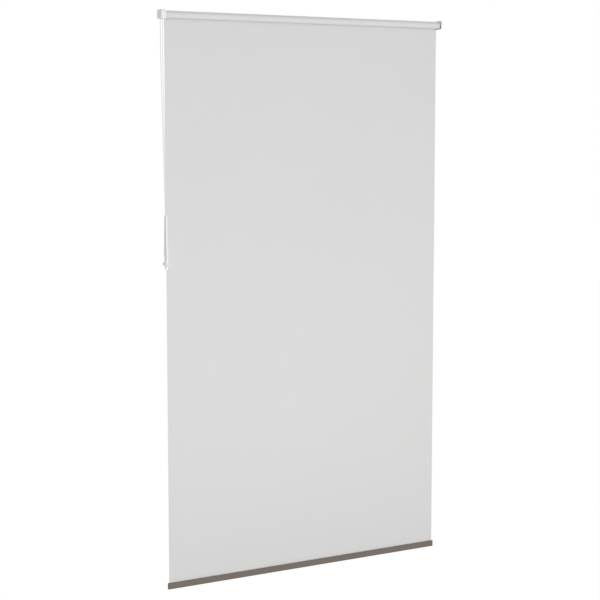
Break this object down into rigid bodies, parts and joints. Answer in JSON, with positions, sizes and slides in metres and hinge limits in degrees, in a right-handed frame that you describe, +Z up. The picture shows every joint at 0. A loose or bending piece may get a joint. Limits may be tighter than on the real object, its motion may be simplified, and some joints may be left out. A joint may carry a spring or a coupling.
{
  "type": "blackout roller blind",
  "caption": "Blackout roller blind with an endless bead chain, wall brackets with covers, a spring-clutch drive, a bottom rail and a wall-fixed chain tensioner.",
  "frame": {"origin": "middle of the left bracket's wall flange, on its back face against the wall and level with the roller's axis", "axes": "+X along the roller away from the chain, +Y into the wall, +Z up"},
  "size_m": [1.3, 0.043, 2.3036],
  "materials": {
    "white_plastic": "white moulded plastic, satin gloss",
    "dark_plastic": "dark grey moulded plastic, matt",
    "nylon": "natural nylon, satin",
    "chain_plastic": "white moulded plastic beads on a cord",
    "zinc_plated_steel": "zinc plated pressed steel",
    "spring_steel": "bright drawn steel",
    "aluminium_tube": "mill finish extruded aluminium",
    "blackout_fabric": "light grey coated blackout weave, matt",
    "tape": "double-sided tape, matt",
    "rail_paint": "grey-brown powder coat, satin",
    "rail_cap_plastic": "grey-brown moulded plastic, satin"
  },
  "bodies": {
    "headrail": {"left_wall_bracket": "zinc_plated_steel", "left_bracket_cover": "white_plastic", "clutch_housing": "white_plastic", "clutch_spindle": "nylon", "wrap_spring_outer": "spring_steel", "wrap_spring_inner": "spring_steel", "clutch_retaining_clip": "spring_steel", "idler_bush": "nylon", "right_wall_bracket": "zinc_plated_steel", "right_bracket_cover": "white_plastic", "fabric_sheet": "blackout_fabric", "chain_front_strand": "chain_plastic", "chain_rear_strand": "chain_plastic", "tensioner_base": "white_plastic", "tensioner_housing_left": "white_plastic", "tensioner_housing_right": "white_plastic", "tensioner_axle": "spring_steel"},
    "roller": {"roller_tube": "aluminium_tube", "chain_sprocket": "nylon", "drive_hub": "white_plastic", "fabric_tape": "tape", "fabric_roll": "blackout_fabric", "idler_plug": "white_plastic", "idler_spring": "spring_steel", "idler_spring_cap": "dark_plastic"},
    "idler_pin": {"idler_pin": "nylon"},
    "rail": {"bottom_rail": "rail_paint", "rail_end_cap_left": "rail_cap_plastic", "rail_end_cap_right": "rail_cap_plastic", "hem_loop": "blackout_fabric", "hem_spline": "nylon"},
    "pulley": {"tensioner_pulley": "nylon"}
  },
  "joints": [
    {"name": "lift", "type": "slide", "parent": "headrail", "child": "rail", "axis": [0, 0, 1], "range_m": [0, 2.2], "deforming": ["fabric_sheet"]},
    {"name": "roller_turn", "type": "hinge", "parent": "headrail", "child": "roller", "pos_m": [0, -0.024, 0], "axis": [1, 0, 0], "range_deg": [0, 7030]},
    {"name": "pulley_turn", "type": "hinge", "parent": "headrail", "child": "pulley", "pos_m": [0.0037, -0.03, -0.927], "axis": [1, 0, 0], "range_deg": [0, 8600]},
    {"name": "idler_pin_slide", "type": "slide", "parent": "roller", "child": "idler_pin", "axis": [1, 0, 0], "range_m": [-0.006, 0], "stiffness_N_per_m": 500, "springref_m": 0.004, "deforming": ["idler_spring"]}
  ],
  "couplings": [
    {"joint": "roller_turn", "follows": "lift", "rad_per_m": 55.7},
    {"joint": "pulley_turn", "follows": "lift", "rad_per_m": 68.078}
  ]
}
